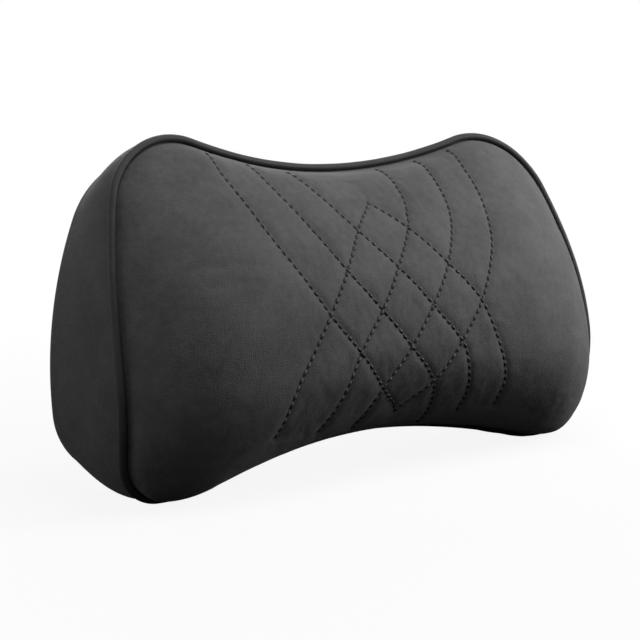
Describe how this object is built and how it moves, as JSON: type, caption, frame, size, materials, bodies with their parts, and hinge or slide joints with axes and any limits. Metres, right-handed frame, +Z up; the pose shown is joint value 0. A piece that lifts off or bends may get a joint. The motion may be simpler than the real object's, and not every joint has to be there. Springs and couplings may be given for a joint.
{
  "type": "car neck pillow",
  "caption": "Bow-tie shaped car neck pillow: foam core in a black leather cover with a quilted domed front, piping at the front seam, a flat back and an elastic headrest strap.",
  "frame": {"origin": "on the floor under the middle of the standing pillow's bounding box", "axes": "+X to the right across the quilted front seen from the front, +Y to the flat back, +Z up as it stands on its two lower lobes"},
  "size_m": [0.3116, 0.0908, 0.1677],
  "materials": {
    "front_leather": "matte, fine suede-like grain, quilted",
    "piping_leather": "matte, drawn over a cord",
    "band_leather": "matte, fine suede-like grain",
    "back_leather": "matte, fine grain",
    "strap_webbing": "ribbed elastic webbing",
    "core_foam": "open-cell foam"
  },
  "bodies": {
    "root": {"front_panel": "front_leather", "front_piping": "piping_leather", "side_band": "band_leather", "back_panel": "back_leather", "headrest_strap": "strap_webbing", "foam_core": "core_foam"}
  },
  "joints": []
}
